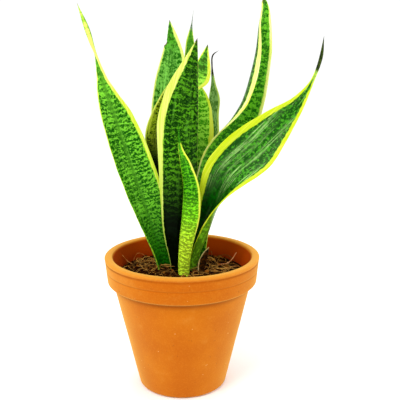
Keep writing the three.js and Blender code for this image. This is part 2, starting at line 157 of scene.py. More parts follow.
class Shader:
    """A principled material and short ways to add nodes to it."""

    def __init__(self, name):
        self.material = bpy.data.materials.new(name)
        self.material.use_nodes = True
        self.tree = self.material.node_tree
        self.surface = self.tree.nodes["Principled BSDF"]

    def set(self, **values):
        for name, value in values.items():
            self.surface.inputs[name.replace("_", " ")].default_value = value

    def feed(self, socket, value):
        """Links a node's output to the socket, or sets the socket to a constant."""
        if isinstance(value, bpy.types.NodeSocket):
            self.tree.links.new(value, socket)
        else:
            socket.default_value = (*value, 1) if isinstance(value, tuple) else value

    def node(self, kind, inputs, **settings):
        made = self.tree.nodes.new(kind)
        for name, value in settings.items():
            setattr(made, name, value)
        for name, value in inputs.items():
            self.feed(made.inputs[name], value)
        return made

    def math(self, operation, first, second=0.0):
        made = self.node("ShaderNodeMath", {0: first, 1: second}, operation=operation)
        return made.outputs[0]

    def add(self, *terms):
        total = terms[0]
        for term in terms[1:]:
            total = self.math("ADD", total, term)
        return total

    def times(self, *factors):
        total = factors[0]
        for factor in factors[1:]:
            total = self.math("MULTIPLY", total, factor)
        return total

    def step(self, value, low, high):
        """0 at low, 1 at high and smooth between them, whichever of them is larger."""
        made = self.node("ShaderNodeMapRange", {"Value": value, "From Min": low, "From Max": high})
        made.interpolation_type = "SMOOTHSTEP"
        return made.outputs["Result"]

    def ridge(self, distance):
        """1 where distance is 0, and fading out on both sides."""
        return self.math("EXPONENT", self.times(self.math("POWER", distance, 2.0), -1.0))

    def mix(self, share, first, second):
        inputs = {0: share, 6: first, 7: second}
        return self.node("ShaderNodeMix", inputs, data_type="RGBA").outputs[2]

    def noise(self, place, scale, detail=2.0, roughness=0.5):
        inputs = {"Vector": place, "Scale": scale, "Detail": detail, "Roughness": roughness}
        return self.node("ShaderNodeTexNoise", inputs).outputs[0]

    def object_place(self):
        return self.node("ShaderNodeTexCoord", {}).outputs["Object"]

    def parts(self, vector):
        made = self.node("ShaderNodeSeparateXYZ", {"Vector": vector})
        return made.outputs[0], made.outputs[1], made.outputs[2]

    def attribute(self, name):
        """The three parts of a named vector attribute."""
        made = self.node("ShaderNodeAttribute", {}, attribute_name=name)
        return self.parts(made.outputs["Vector"])

    def place(self, x, y, z):
        return self.node("ShaderNodeCombineXYZ", {0: x, 1: y, 2: z}).outputs[0]

    def colour(self, value):
        self.tree.links.new(value, self.surface.inputs["Base Color"])

    def roughness(self, value):
        self.tree.links.new(value, self.surface.inputs["Roughness"])

    def bump(self, height, depth, strength):
        made = self.node("ShaderNodeBump", {"Height": height, "Distance": depth, "Strength": strength})
        self.tree.links.new(made.outputs[0], self.surface.inputs["Normal"])


# ------------------------------------------------------------------ mesh helpers

def welded(node):
    """A bmesh of a CAD node with its split corners joined."""
    mesh = bmesh.new()
    mesh.from_mesh(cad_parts[node].data)
    bmesh.ops.remove_doubles(mesh, verts=mesh.verts, dist=WELD)
    return mesh


def link_piece(name, mesh, material, nodes, rounding=0):
    """Adds the mesh as a smooth piece of the scene. rounding is how often it's subdivided."""
    mesh.polygons.foreach_set("use_smooth", [True] * len(mesh.polygons))
    mesh.materials.append(material)
    mesh.update()
    piece = bpy.data.objects.new(name, mesh)
    bpy.context.scene.collection.objects.link(piece)
    if rounding:
        subdivision = piece.modifiers.new("rounding", "SUBSURF")
        subdivision.levels = rounding
        subdivision.render_levels = rounding
    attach(piece, "root")
    if nodes:
        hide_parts(*nodes)
    return piece


def add_piece(name, points, faces, material, slot, *nodes, attributes=None):
    """A piece from its points and faces, with vector attributes that give a value per point."""
    mesh = bpy.data.meshes.new(name)
    mesh.from_pydata([tuple(p) for p in points], [], faces)
    for key, values in (attributes or {}).items():
        made = mesh.attributes.new(key, "FLOAT_VECTOR", "POINT")
        made.data.foreach_set("vector", np.asarray(values, dtype=np.float32).ravel())
    return link_piece(name, mesh, material, nodes)


def face_outwards(piece):
    mesh = bmesh.new()
    mesh.from_mesh(piece.data)
    bmesh.ops.recalc_face_normals(mesh, faces=mesh.faces)
    mesh.to_mesh(piece.data)
    mesh.free()


def between_rings(first, rings, size):
    """Quads over rings of size points each, which follow each other from index first."""
    faces = []
    for start in range(first, first + (rings - 1) * size, size):
        for k in range(size):
            a = start + k
            b = start + (k + 1) % size
            faces.append((a, b, b + size, a + size))
    return faces


def hermite(points, knots, at):
    """A smooth curve through points, which stand at knots along the first axis, read at each
    place in at."""
    spans = np.diff(knots)
    shape = (-1,) + (1,) * (points.ndim - 1)
    slopes = np.diff(points, axis=0) / spans.reshape(shape)
    before = spans[:-1].reshape(shape)
    after = spans[1:].reshape(shape)
    inner = (slopes[:-1] * after + slopes[1:] * before) / (before + after)
    tangents = np.concatenate([slopes[:1], inner, slopes[-1:]])
    i = np.clip(np.searchsorted(knots, at, side="right") - 1, 0, len(spans) - 1)
    span = spans[i].reshape(shape)
    t = ((at - knots[i]) / spans[i]).reshape(shape)
    return ((2 * t**3 - 3 * t**2 + 1) * points[i] + (t**3 - 2 * t**2 + t) * span * tangents[i]
            + (3 * t**2 - 2 * t**3) * points[i + 1] + (t**3 - t**2) * span * tangents[i + 1])


def bumpy(x, y, z, size):
    """Smooth noise from about -1 to 1 that changes over this size."""
    return noise.noise(Vector((x / size, y / size, z / size)))


# ------------------------------------------------------------------ leaf shape

EDGE_WAVE = 13 * MM             # length of the ripples along a leaf's edges
BLADE_WAVE = 26 * MM            # length of the gentler waves over the whole blade
EDGES_APART = 3.1               # in the noise, so that a leaf's two edges ripple differently
WAVES_APART = 5                 # in the noise, between the edges' waves and the blade's
CALM_WIDTH = 12 * MM            # a blade narrower than this ripples less
CALM_FOOT = 0.2                 # share of the length over which the ripples set in
GROOVE_WIDTH = 1.1 * MM         # of the hollow along the midrib
GROOVE_DEPTH = 0.22             # mm
WIDEST_MARGIN = 0.25            # share of the blade's width
TEAR_STEP = 0.008               # share of the length over which a tear opens
SCAR_REACH = 0.009              # share of the length that its brown edge reaches


def layers_from_tip(mesh):
    """The leaf's vertices, sorted into its tip and the rings below it."""
    tip = max(mesh.verts, key=lambda v: len(v.link_edges))
    layers = [[tip]]
    seen = {tip}
    while True:
        ring = []
        for vertex in layers[-1]:
            for edge in vertex.link_edges:
                other = edge.other_vert(vertex)
                if other not in seen:
                    seen.add(other)
                    ring.append(other)
        if not ring:
            return layers
        layers.append(ring)


def in_order(ring):
    """The ring's vertices in order round it. An edge across the flat foot isn't followed."""
    members = set(ring)

    def around(vertex):
        for edge in vertex.link_edges:
            flat = all(set(face.verts) <= members for face in edge.link_faces)
            if edge.other_vert(vertex) in members and not flat:
                yield edge.other_vert(vertex)

    path = [ring[0]]
    while len(path) < len(ring):
        path.append(next(v for v in around(path[-1]) if v not in path))
    return np.array([v.co for v in path])


def leaf_rings(node):
    """The CAD leaf's rings from foot to tip, each from edge to edge along the hollow side and
    back along the other, and its tip."""
    mesh = welded(node)
    layers = layers_from_tip(mesh)
    tip = np.array(layers[0][0].co)
    rings = [in_order(ring) for ring in reversed(layers[1:])]
    mesh.free()
    assert all(len(ring) == LEAF_SECTION for ring in rings), node

    centres = [ring.mean(axis=0) for ring in rings] + [tip]
    for i, ring in enumerate(rings):
        spokes = ring - centres[i]
        turn = np.cross(spokes, np.roll(spokes, -1, axis=0)).sum(axis=0)
        if turn @ (centres[i + 1] - centres[i]) < 0:
            rings[i] = ring[::-1]

    # The blade's two edges are the widest ring's two short sides. The hollow side is the shorter.
    half = LEAF_SECTION // 2
    widths = [np.linalg.norm(ring - ring.mean(axis=0), axis=1).max() for ring in rings]
    widest = int(np.argmax(widths))
    sides = np.linalg.norm(np.roll(rings[widest], -1, axis=0) - rings[widest], axis=1)
    pairs = sides[:half] + sides[half:]
    start = int(np.argmin(pairs)) + 1
    first = sides[start:start + half - 1].sum()
    if first > sides.sum() - sides[start - 1] - sides[(start - 1 + half) % LEAF_SECTION] - first:
        start += half
    rings[widest] = np.roll(rings[widest], -start, axis=0)

    # Every other ring starts where it lies nearest to its neighbour on the widest ring's side.
    for near, i in [(k - 1, k) for k in range(widest + 1, len(rings))] + \
                   [(k + 1, k) for k in range(widest - 1, -1, -1)]:
        aim = rings[near] - rings[near].mean(axis=0)
        here = rings[i] - rings[i].mean(axis=0)
        costs = [((np.roll(here, -k, axis=0) - aim) ** 2).sum() for k in range(LEAF_SECTION)]
        rings[i] = np.roll(rings[i], -int(np.argmin(costs)), axis=0)
    return np.array(rings), tip


class Blade:
    """A fine grid over a CAD leaf. Row i lies at share[i] of its length from the foot, and column
    j at u[j], from -1 at one edge to 1 at the other. middle is the surface halfway through the
    blade, and depth leads from there to the skin on the hollow side."""

    def __init__(self, node, rows, columns):
        rings, tip = leaf_rings(node)
        half = LEAF_SECTION // 2
        hollow = rings[:, :half]
        back = rings[:, :half - 1:-1]
        middle = np.concatenate([(hollow + back) / 2, np.broadcast_to(tip, (1, half, 3))])
        depth = np.concatenate([(hollow - back) / 2, np.zeros((1, half, 3))])
        spine = middle[:, half // 2]
        knots = np.concatenate([[0], np.cumsum(np.linalg.norm(np.diff(spine, axis=0), axis=1))])

        self.length = knots[-1]
        even = np.linspace(0, 1, rows + 1)
        self.share = even * 0.6 + 0.4 * np.sin(even * math.pi / 2)
        self.u = np.sin(np.linspace(-math.pi / 2, math.pi / 2, columns))
        self.centre = columns // 2

        def refined(grid):
            grid = hermite(grid, knots, self.share * self.length)
            return hermite(grid.swapaxes(0, 1), np.linspace(-1, 1, half), self.u).swapaxes(0, 1)

        self.middle = refined(middle)
        self.depth = refined(depth)
        steps = np.linalg.norm(np.diff(self.middle, axis=1), axis=2)
        self.from_left = np.concatenate([np.zeros((rows + 1, 1)), np.cumsum(steps, axis=1)], axis=1)
        self.width = self.from_left[:, -1:]
        self.across = self.from_left - self.from_left[:, self.centre:self.centre + 1]
        self.scar = np.zeros((rows + 1, columns))

    def margin(self, widths):
        """The margin's width at each row, from (share of the length, mm) pairs."""
        wanted = np.interp(self.share, *zip(*widths))[:, None] * MM
        return np.minimum(wanted, self.width * WIDEST_MARGIN)

    def inside(self, left, right):
        """How far inside the margins each point lies, and below 0 on them."""
        return np.minimum(self.from_left - self.margin(left),
                          self.width - self.from_left - self.margin(right))

    def ripple(self, height, seed):
        """Waves the blade by up to this many mm, most at its edges, and sinks the midrib."""
        thickness = np.linalg.norm(self.depth, axis=2, keepdims=True)
        normal = self.depth / np.maximum(thickness, 1e-9)
        for i, share in enumerate(self.share):
            along = share * self.length + seed
            fade = min(1, self.width[i, 0] / CALM_WIDTH) * min(1, share / CALM_FOOT)
            for j, u in enumerate(self.u):
                across = self.across[i, j]
                lift = height * abs(u) ** 3 * bumpy(along, EDGES_APART * (u > 0), 0, EDGE_WAVE)
                lift += 0.5 * height * bumpy(along, across, WAVES_APART, BLADE_WAVE)
                lift -= GROOVE_DEPTH * math.exp(-(across / GROOVE_WIDTH) ** 2)
                self.middle[i, j] += normal[i, j] * lift * fade * MM

    def tear(self, at, bite):
        """Pulls the edge at u = -1 in by the share bite, from at of the length up to the tip."""
        for i, share in enumerate(self.share):
            opening = min(1, max(0, (share - at) / TEAR_STEP))
            closing = 1 - 0.75 * max(0, (share - at) / (1 - at))
            pull = bite * opening * closing * (1 + 0.25 * bumpy(i * 0.7, 0, 0, 1))
            near = math.exp(-((share - at - TEAR_STEP / 2) / SCAR_REACH) ** 2)
            midrib = self.middle[i, self.centre]
            for j in range(self.centre):
                self.middle[i, j] += (midrib - self.middle[i, j]) * pull * abs(self.u[j]) ** 2
                self.scar[i, j] = near * abs(self.u[j]) ** 6

    def skins(self):
        """Its skin on the hollow side and on the back, which meet round its edges."""
        rounding = np.sqrt(np.clip(1 - np.abs(self.u) ** 10, 0, 1))[None, :, None]
        return self.middle + self.depth * rounding, self.middle - self.depth * rounding


def blade_faces(rows, columns):
    """Faces over both skins, whose rings run from the foot up to one point at the tip."""
    size = 2 * columns - 2
    faces = between_rings(0, rows, size)
    last = (rows - 1) * size
    for k in range(size):
        faces.append((last + k, last + (k + 1) % size, rows * size))
    for k in range(1, columns - 1):
        faces.append((k, size - k, (size - k + 1) % size, k - 1))
    faces.append((columns - 2, columns - 1, columns))
    return faces


def make_leaf(node, material, slot, left, right, rows=170, columns=29, wave=0.35,
              spacing=(3.0, 5.0), tear=None):
    """A fine leaf inside its CAD node's outline. left and right give the margins' widths in mm
    along the leaf, as (share of the length, width) pairs, for the edges at u = -1 and u = 1.
    spacing is the distance in mm between dark bands at the foot and at the tip."""
    blade = Blade(node, rows, columns)
    inside = blade.inside(left, right)
    blade.ripple(wave, seed=sum(map(ord, node)) * 0.37)
    if tear:
        blade.tear(*tear)
    top, under = blade.skins()
    along = blade.share * blade.length / MM
    turns = np.cumsum(np.gradient(along) / np.linspace(*spacing, rows + 1))
    points, stretch, place, growth = [], [], [], []

    def put(i, j, point, side):
        points.append(point)
        stretch.append((blade.across[i, j] / MM, along[i], inside[i, j] / MM))
        place.append((blade.u[j], blade.share[i], side))
        growth.append((turns[i], blade.scar[i, j], 0))

    for i in range(rows):
        for j in range(columns):
            put(i, j, top[i, j], 1)
        for j in range(columns - 2, 0, -1):
            put(i, j, under[i, j], 0)
    put(rows, blade.centre, top[rows, blade.centre], 1)
    add_piece(node + "_blade", points, blade_faces(rows, columns), material, slot, node,
              attributes={"blade": stretch, "place": place, "growth": growth})


# ------------------------------------------------------------------ leaf looks

RUST_SPOT = shown(120, 92, 30)
CHALK_SPOT = shown(236, 240, 214)
SCAR_BROWN = shown(104, 64, 22)


class LeafShader(Shader):
    """A leaf's skin. Its patterns lie in mm across and along the blade."""

    def __init__(self, name, seed, drawn):
        super().__init__(name)
        self.seed = seed
        self.across, self.along, self.inside = self.attribute("blade")
        _, self.share, self.side = self.attribute("place")
        self.turns, self.scar, _ = self.attribute("growth")
        self.blotch = self.grain(2, 0.42, 0.75 * drawn, 2.0)
        self.mottle = self.grain(3, 0.8, 1.05 * drawn, 3.0, 0.72)

    def grain(self, layer, across, along, detail=3.0, roughness=0.6):
        """Noise from about -0.5 to 0.5 that changes this often in a mm across and along."""
        spot = self.place(self.times(self.across, across), self.times(self.along, along),
                          self.seed * 7.7 + layer)
        return self.add(self.noise(spot, 1.0, detail, roughness), -0.5)

    def cross_bands(self, strength, bands):
        """The field that the ragged cross-bands follow, which is above 0 where they're dark."""
        broad = self.grain(0, 0.06, 0.07, 1.0)
        zigzag = self.grain(1, 0.34, 0.30, 2.0)
        phase = self.add(self.times(self.turns, 2 * math.pi), self.times(broad, 14.0),
                         self.times(zigzag, 11.0))
        return self.add(self.times(self.math("SINE", phase), strength), self.times(self.blotch, 1.5),
                        self.times(self.mottle, 2.6), self.times(broad, 0.8), bands)

    def streaks(self):
        """Thin lengthwise streaks, which lie in groups. They are partly the leaf's own streaks and
        partly painted highlight.
        """
        group = self.grain(11, 0.15, 0.012, 1.0)
        run = self.add(self.grain(4, 1.0, 0.045, 2.0), self.times(self.mottle, 0.35),
                       self.times(group, 0.9))
        return self.step(run, 0.06, 0.25)

    # A lengthwise stripe of painted highlight.
    def highlight_stripe(self, offset, half, first, last, amount):
        away = self.add(self.across, -offset, self.times(self.blotch, 3.0))
        stripe = self.ridge(self.times(away, 1 / half))
        reach = self.times(self.step(self.share, first - 0.08, first + 0.04),
                           self.step(self.share, last + 0.08, last - 0.04))
        lines = self.add(self.grain(12, 1.6, 0.05, 2.0), self.times(self.mottle, 0.5))
        return self.times(stripe, reach, self.times(self.step(lines, -0.14, 0.16), amount))

    def washed(self, green, field, full, end, wash):
        """The green under a wash of colour, which the dark bands still show through."""
        reach = self.step(self.add(self.share, self.times(self.blotch, 0.08)), end, full)
        banding = self.step(self.add(field, self.times(self.blotch, 0.8)), -0.30, 0.36)
        return self.mix(reach, green, self.mix(banding, scaled(wash, 1.55), scaled(wash, 0.5)))

    def margin(self, yellow, cream, lime, creamy, pale_top):
        """A yellow margin with creamy and lime lines, creamier in its top part by pale_top."""
        creaminess = self.add(self.grain(6, 1.4, 0.04, 2.0),
                              self.times(self.step(self.share, 0.6, 0.9), pale_top))
        cream_share = self.step(creaminess, -0.3 + 0.3 * (1 - creamy), 0.25)
        lime_share = self.times(self.step(self.grain(7, 1.9, 0.035), 0.0, 0.22), 0.32)
        return self.mix(lime_share, self.mix(cream_share, yellow, cream), lime)


def leaf_material(name, light, dark, seed, bands=0.0, strength=0.45, yellow=(232, 244, 70),
                  cream=(250, 253, 150), creamy=0.4, streaks=0.2, midrib=0.5, dry_from=0.985,
                  dry=((38, 34, 14), (96, 84, 52)), back=None, gloss=0.38, shine=0.07, washes=(),
                  pale=None, pale_top=0.0, drawn=1.0, highlight_stripes=()):
    """Waxy leaf: dark ragged cross-bands on a lighter green, with pale yellow margins. Each wash
    is (share where it's full, share where it ends, colour) and back is (amount, colour). drawn
    under 1 draws the mottling out along the leaf. Each lengthwise stripe of painted highlight is
    given as (mm from the midrib, half width in mm, its first and last share of the length, amount)."""
    s = LeafShader(name, seed, drawn)
    field = s.cross_bands(strength, bands)
    banding = s.step(field, -0.20, 0.22)
    green = s.mix(banding, light, dark)
    green = s.mix(s.times(s.step(s.mottle, -0.02, -0.16), 0.45), green, scaled(light, 1.5))

    pale = pale or tuple(min(1.0, c * 2.1 + 0.03) for c in light)
    # The pale streaks are partly the leaf's own and partly painted highlight.
    green = s.mix(s.times(s.streaks(), streaks), green, pale)
    # Lengthwise stripes of painted highlight.
    for stripe in highlight_stripes:
        green = s.mix(s.highlight_stripe(*stripe), green, pale)
    rib = s.ridge(s.times(s.add(s.across, s.times(s.blotch, 0.8)), 0.6))
    green = s.mix(s.times(rib, midrib), green, blended(dark, light, 0.3))
    for wash in washes:
        green = s.washed(green, field, *wash)
    if back:
        amount, tone = back
        behind = s.times(s.math("SUBTRACT", 1.0, s.side), amount)
        green = s.mix(behind, green, s.mix(banding, tone, scaled(tone, 0.38)))

    # The green gives way to lime and then to the margin over a fraction of a millimetre.
    lime = blended(shown(*yellow), light, 0.65)
    margin = s.margin(shown(*yellow), shown(*cream), lime, creamy, pale_top)
    edge = s.add(s.inside, s.times(s.grain(5, 0.25, 0.4), 1.6))
    colour = s.mix(s.step(edge, 0.30, 0.02), green, lime)
    colour = s.mix(s.step(edge, 0.10, -0.40), colour, margin)

    rust = s.step(s.grain(8, 0.5, 0.4, 2.0), 0.25, 0.31)
    colour = s.mix(s.times(rust, 0.5), colour, RUST_SPOT)
    chalk = s.step(s.grain(9, 0.8, 0.8, 1.0), 0.335, 0.35)
    colour = s.mix(s.times(chalk, 0.8), colour, CHALK_SPOT)
    ragged = s.add(s.share, s.times(s.blotch, 0.02))
    dead = s.step(ragged, dry_from - 0.014, dry_from + 0.006)
    dry_tone = s.mix(s.step(s.mottle, -0.1, 0.15), shown(*dry[0]), shown(*dry[1]))
    colour = s.mix(dead, colour, dry_tone)
    s.colour(s.mix(s.step(s.scar, 0.15, 0.5), colour, SCAR_BROWN))

    s.roughness(s.add(gloss, s.times(s.mottle, 0.25), s.times(dead, 0.3)))
    s.set(Specular_IOR_Level=shine, Specular_Tint=(0.6, 0.9, 0.35, 1), Coat_Weight=0.02,
          Coat_Roughness=0.15)
    height = s.add(s.times(s.grain(10, 1.8, 0.12, 2.0), 0.35), s.times(s.mottle, 0.4),
                   s.times(banding, -0.1))
    s.bump(height, 0.16 * MM, 0.6)
    return s.material


def make_leaves():
    looks = {
        "leaf_front_left": dict(
            light=shown(122, 208, 54), dark=shown(12, 86, 0), bands=0.08, strength=0.3,
            midrib=0.8, dry_from=0.992, seed=1.0, yellow=(208, 236, 40), cream=(240, 250, 118),
            pale_top=0.5, back=(0.85, shown(108, 150, 72)),
            washes=((0.04, 0.40, shown(26, 100, 6)), (0.88, 0.80, shown(118, 140, 80)))),
        "leaf_centre": dict(
            light=shown(82, 150, 30), dark=shown(12, 52, 0), bands=0.22, strength=0.38,
            midrib=0.15, dry_from=0.984, seed=2.0, yellow=(200, 224, 76), cream=(240, 248, 136),
            # The near-black wash over the foot is partly a darker foot and partly painted shade
            # between the leaves.
            creamy=0.6, shine=0.03, washes=((0.26, 0.56, shown(6, 24, 0)),)),
        "leaf_front_pup": dict(
            light=shown(92, 184, 28), dark=shown(12, 84, 0), bands=0.14, strength=0.2,
            midrib=0.1, dry_from=0.88, dry=((24, 84, 8), (70, 150, 30)), seed=3.0,
            yellow=(226, 244, 64), cream=(244, 250, 110),
            washes=((0.42, 0.62, shown(116, 202, 32)), (0.24, 0.48, shown(192, 234, 54)))),
        "leaf_right": dict(
            light=shown(70, 154, 36), dark=shown(12, 74, 0), bands=0.16, strength=0.10,
            streaks=1.0, midrib=0.1, drawn=0.45, dry_from=0.885, dry=((22, 34, 6), (70, 84, 34)),
            # The lengthwise stripes, in the pale colour, are painted highlights.
            highlight_stripes=((-5.5, 2.2, 0.40, 0.66, 0.85), (0.5, 1.2, 0.42, 0.62, 0.5),
                   (6.5, 1.6, 0.50, 0.72, 0.7)),
            seed=4.0, yellow=(206, 230, 24), cream=(236, 246, 80), back=(0.9, shown(130, 202, 42)),
            gloss=0.28, shine=0.16, pale=shown(166, 218, 122),
            # The dark wash over the foot is partly a darker foot and partly painted shade among the
            # other leaves.
            washes=((0.30, 0.48, shown(9, 76, 0)),)),
        "leaf_right_curved": dict(
            light=shown(108, 196, 44), dark=shown(26, 102, 0), bands=0.06, strength=0.3,
            midrib=0.2, dry_from=0.994, seed=5.0, yellow=(240, 252, 84), cream=(252, 254, 186),
            creamy=0.8, back=(0.9, shown(92, 142, 68))),
        "leaf_rear_centre": dict(
            light=shown(172, 250, 74), dark=shown(66, 164, 8), dry_from=0.992, seed=6.0,
            yellow=(236, 250, 60), cream=(250, 254, 120),
            washes=((0.90, 0.84, shown(82, 148, 46)),)),
        "leaf_rear_left": dict(
            light=shown(122, 196, 76), dark=shown(32, 104, 12), bands=0.04, strength=0.2,
            # Its lengthwise stripe is a painted highlight.
            streaks=0.6, drawn=0.5, highlight_stripes=((-5.0, 2.0, 0.62, 0.82, 0.6),), dry_from=0.995,
            seed=7.0, yellow=(226, 242, 110), cream=(244, 252, 150),
            washes=((0.93, 0.84, shown(66, 138, 34)),)),
        "leaf_rear_spear": dict(
            light=shown(100, 168, 52), dark=shown(50, 120, 18), strength=0.1, dry_from=0.93,
            dry=((74, 92, 70), (142, 162, 134)), seed=8.0, yellow=(206, 232, 80),
            cream=(226, 240, 120)),
        "leaf_rear_right": dict(
            light=shown(140, 184, 104), dark=shown(76, 122, 42), strength=0.1, streaks=0.6,
            midrib=0.3, drawn=0.3, dry_from=0.88, dry=((40, 40, 30), (80, 78, 60)), seed=9.0,
            yellow=(190, 216, 84), cream=(214, 232, 120)),
        "leaf_between": dict(
            light=shown(148, 176, 34), dark=shown(28, 50, 0), bands=0.02, strength=0.1,
            streaks=0.95, pale=shown(190, 208, 62), washes=((0.56, 0.76, shown(18, 34, 0)),),
            dry_from=0.997, yellow=(216, 232, 70), seed=10.0),
    }
    margins = {
        "leaf_front_left": (
            ((0, 0), (0.25, 0.1), (0.5, 0.5), (0.76, 0.6), (0.84, 0.1), (1, 0.1)),
            ((0, 0), (0.2, 0.5), (0.4, 2.6), (0.6, 2.8), (0.75, 1.7), (0.85, 1.1), (1, 0.8))),
        "leaf_centre": (
            ((0, 0), (0.5, 0.2), (1, 0.4)),
            ((0, 1), (0.2, 1.6), (0.33, 2.4), (0.5, 4), (0.65, 6), (0.8, 6), (1, 3))),
        "leaf_front_pup": (
            ((0, 0), (0.3, 0.4), (0.5, 1.5), (0.8, 1.2), (1, 0.3)),
            ((0, 0), (0.5, 0.5), (0.8, 0.7), (1, 0.2))),
        "leaf_right": (
            ((0, 0), (0.16, 0.2), (0.3, 3.4), (0.42, 5.8), (0.6, 5.2), (0.75, 2.4), (0.84, 0.6),
             (1, 0.2)),
            ((0, 0), (0.12, 0.3), (0.3, 1.0), (0.42, 2.6), (0.6, 3.0), (0.8, 1.6), (0.88, 0.4),
             (1, 0.2))),
        "leaf_right_curved": (
            ((0, 0), (0.2, 0.1), (0.4, 1.2), (0.55, 3), (0.8, 3.8), (0.93, 1.6), (1, 0.2)),
            ((0, 0), (0.2, 0.2), (0.4, 1.6), (0.6, 2.2), (0.93, 1.8), (1, 0.2))),
        "leaf_rear_centre": (
            ((0, 0.4), (0.5, 1.5), (0.8, 3), (1, 2)),
            ((0, 0.4), (0.4, 3), (0.6, 3.8), (0.72, 2), (0.85, 1.2), (1, 0.5))),
        "leaf_rear_left": (
            ((0, 0.6), (0.5, 1), (0.89, 1.1), (0.90, 0), (1, 0)),
            ((0, 0.8), (0.5, 2), (1, 2.2))),
        "leaf_rear_spear": (((0, 0.5), (1, 0.8)), ((0, 0.2), (1, 0.3))),
        "leaf_rear_right": (((0, 0), (1, 0.1)), ((0, 0.3), (0.4, 0.7), (0.7, 1.4), (1, 0.6))),
        "leaf_between": (((0, 0.8), (1, 1)), ((0, 0.5), (1, 0.8))),
    }
    spacing = {
        "leaf_front_left": (2.6, 5.0), "leaf_centre": (5.0, 4.2), "leaf_front_pup": (3.0, 3.0),
        "leaf_right": (3.4, 7.0), "leaf_right_curved": (4.0, 5.0),
    }
    for node, look in looks.items():
        slot = "pup_leaf" if node == "leaf_front_pup" else "leaf"
        tear = (0.905, 0.28) if node == "leaf_rear_left" else None
        make_leaf(node, leaf_material(node, **look), slot, *margins[node],
                  spacing=spacing.get(node, (4.0, 5.0)), tear=tear)


# ------------------------------------------------------------------ pot

# The grooves' darkness is painted shade.
POT_GROOVE_SHADE = ((3.3, 1.3, 0.65), (10, 0.8, 0.5))  # mm below the rim, half width in mm, darkness
POT_SWELLS = ((0.10, 22), (0.04, 5))              # how far the clay wanders, over what, in mm
COLLAR_FOOT = 20                                  # mm below the rim, where the collar ends
LIP_WIDTH = 5.4 * MM


def below_rim(mm):
    return POT_HEIGHT - mm * MM


def pot_profile():
    """The CAD pot's outline as (radius, height) points round a closed loop."""
    mesh = welded("pot")
    cut = {v for v in mesh.verts if abs(v.co.y - POT_Y) < ON_PLANE and v.co.x > POT_X}

    # It starts at the top of the rim, on the outer side.
    start = max(cut, key=lambda v: v.co.z * 10 + v.co.x)
    path = [start]
    while True:
        near = [e.other_vert(path[-1]) for e in path[-1].link_edges]
        follow = [v for v in near if v in cut and v not in path]
        if not follow:
            break
        path.append(follow[0])
    outline = [(v.co.x - POT_X, v.co.z) for v in path]
    mesh.free()
    return outline


def rounded(outline, radius, spacing):
    """The closed outline with small round corners, and points along its long sides."""
    corners = [Vector(p) for p in outline]
    path = []
    for k, corner in enumerate(corners):
        before = corners[k - 1] - corner
        after = corners[(k + 1) % len(corners)] - corner
        start = corner + before.normalized() * min(radius, before.length * 0.4)
        end = corner + after.normalized() * min(radius, after.length * 0.4)
        for t in (0, 0.33, 0.67, 1):
            path.append(start * (1 - t) ** 2 + corner * 2 * t * (1 - t) + end * t**2)
    filled = []
    for k, point in enumerate(path):
        gap = path[(k + 1) % len(path)] - point
        parts = max(1, round(gap.length / spacing))
        filled += [point + gap * (i / parts) for i in range(parts)]
    return filled


def terracotta(name, inside=False):
    """Fired clay with pits, flecks and a thin bloom of salts."""
    s = Shader(name)
    spot = s.object_place()
    height = s.parts(spot)[2]
    blotch = s.noise(spot, 28.0, 3.0)
    fine = s.noise(spot, 900.0, 3.0, 0.6)
    clay = s.mix(s.step(blotch, 0.3, 0.7), shown(192, 92, 12), shown(204, 108, 22))
    clay = s.mix(s.times(s.step(fine, 0.45, 0.7), 0.3), clay, shown(218, 134, 40))
    salts = s.times(s.step(s.noise(spot, 60.0, 4.0, 0.6), 0.56, 0.75), 0.25)
    clay = s.mix(salts, clay, shown(222, 152, 66))
    pit = s.step(s.noise(spot, 420.0, 2.0), 0.69, 0.75)
    clay = s.mix(s.times(pit, 0.4), clay, shown(140, 58, 4))
    fleck = s.step(s.noise(spot, 330.0, 1.0), 0.765, 0.79)
    clay = s.mix(s.times(fleck, 0.55), clay, shown(240, 204, 130))

    # The grooves get painted shade, and a soft band of painted shadow lies under the collar.
    for below, reach, amount in POT_GROOVE_SHADE:
        away = s.math("ABSOLUTE", s.add(height, -below_rim(below)))
        groove_shade = s.times(s.step(away, reach * MM, 0.0), s.times(s.step(blotch, 0.1, 0.8), amount))
        clay = s.mix(s.math("MINIMUM", groove_shade, 0.75), clay, shown(122, 46, 2))
    under = s.times(s.step(height, below_rim(COLLAR_FOOT + 7), below_rim(COLLAR_FOOT + 0.5)),
                    s.step(height, below_rim(COLLAR_FOOT - 0.7), below_rim(COLLAR_FOOT)))
    under = s.times(s.math("POWER", under, 1.6), s.step(blotch, -0.3, 0.7))
    clay = s.mix(s.times(under, 0.85), clay, shown(130, 50, 4))
    # The rim's top is painted paler: a painted highlight.
    rim_highlight = s.step(s.add(height, s.times(fine, 0.6 * MM)), below_rim(2.4), below_rim(0))
    clay = s.mix(s.times(rim_highlight, 0.5), clay, shown(240, 168, 64))

    # The inside is painted darker below the lip, and darkest at the soil: partly damp clay, partly
    # painted shade inside the pot.
    if inside:
        damp_and_shade = s.step(s.add(height, s.times(blotch, 2 * MM)), below_rim(-0.8), below_rim(1.2))
        clay = s.mix(damp_and_shade, clay, shown(186, 72, 0))
        deeper_damp_and_shade = s.step(s.add(height, s.times(blotch, 4 * MM)), below_rim(4), below_rim(14))
        clay = s.mix(s.times(deeper_damp_and_shade, 0.6), clay, shown(150, 44, 0))
        s.set(Specular_IOR_Level=0.02, Specular_Tint=(1, 0.6, 0.1, 1))
    else:
        s.set(Specular_IOR_Level=0.05, Specular_Tint=(1, 0.7, 0.2, 1), Sheen_Weight=0.62,
              Sheen_Roughness=0.5, Sheen_Tint=(1, 0.7, 0.16, 1))
    s.colour(clay)
    s.roughness(s.add(0.6, s.times(fine, 0.2)))
    turning = s.noise(s.place(0.0, 0.0, s.times(height, 1400.0)), 1.0, 2.0)
    relief = s.add(s.times(fine, 0.8), s.times(turning, 0.35), s.times(pit, -0.8))
    s.bump(relief, 0.18 * MM, 0.55)
    return s.material


